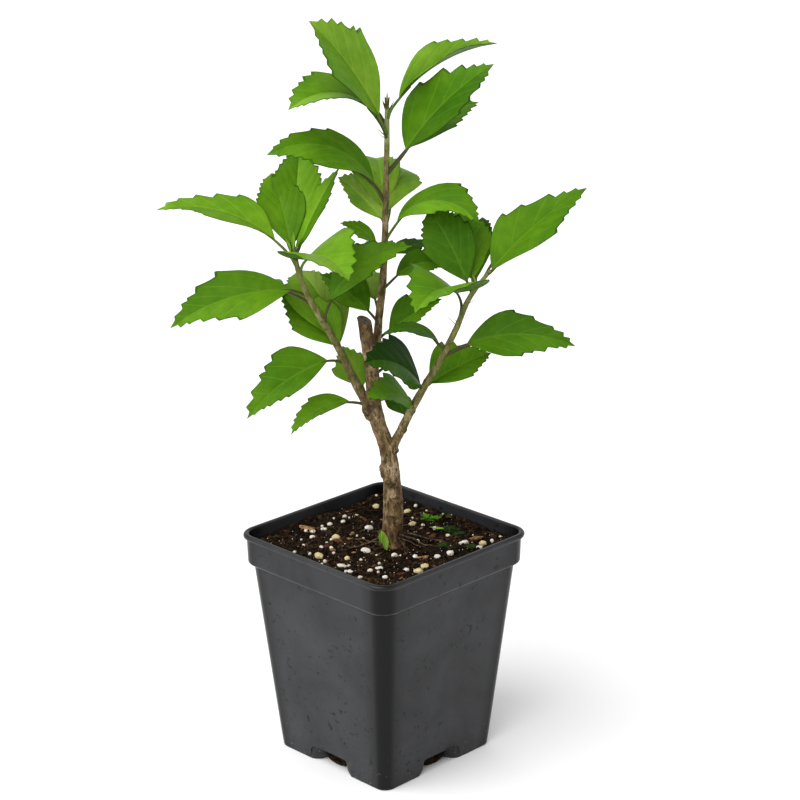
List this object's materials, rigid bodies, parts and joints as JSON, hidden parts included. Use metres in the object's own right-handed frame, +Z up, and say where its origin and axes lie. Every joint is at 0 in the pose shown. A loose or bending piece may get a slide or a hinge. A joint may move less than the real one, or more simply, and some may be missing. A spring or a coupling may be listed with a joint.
{
  "type": "potted hibiscus shrub",
  "caption": "Young hibiscus shrub with toothed leaves on a forked woody stem, in a tapered square nursery pot of dark plastic filled with soil.",
  "frame": {"origin": "middle of the flat underside of the pot", "axes": "+Z up, along the trunk; X and Y along the sides of the square pot"},
  "size_m": [0.1619, 0.1731, 0.3943],
  "materials": {
    "pot": "satin dark grey, lightly scuffed",
    "soil": "moist crumbly peat with pale grains",
    "bark": "thin grey-brown bark, green on young shoots",
    "leaf": "soft gloss"
  },
  "bodies": {
    "root": {"pot": "pot", "soil": "soil", "trunk": "bark", "centre_bough": "bark", "left_bough": "bark", "right_bough": "bark", "centre_crown": "leaf", "left_crown": "leaf", "right_crown": "leaf", "centre_spray_upper_left": "leaf", "centre_spray_upper_back": "leaf", "centre_spray_upper_right": "leaf", "centre_spray_middle_left": "leaf", "centre_spray_middle_right": "leaf", "centre_spray_middle_back": "leaf", "centre_spray_lower_right": "leaf", "centre_spray_lower_left": "leaf", "centre_spray_low_right": "leaf", "centre_spray_low_back": "leaf", "left_spray_upper": "leaf", "left_spray_upper_right": "leaf", "left_spray_middle": "leaf", "left_spray_lower": "leaf", "left_spray_foot_back": "leaf", "left_spray_foot": "leaf", "right_spray_upper": "leaf", "right_spray_upper_left": "leaf", "right_spray_middle": "leaf", "right_spray_lower_left": "leaf", "right_spray_foot_left": "leaf", "right_spray_foot_back": "leaf"}
  },
  "joints": []
}
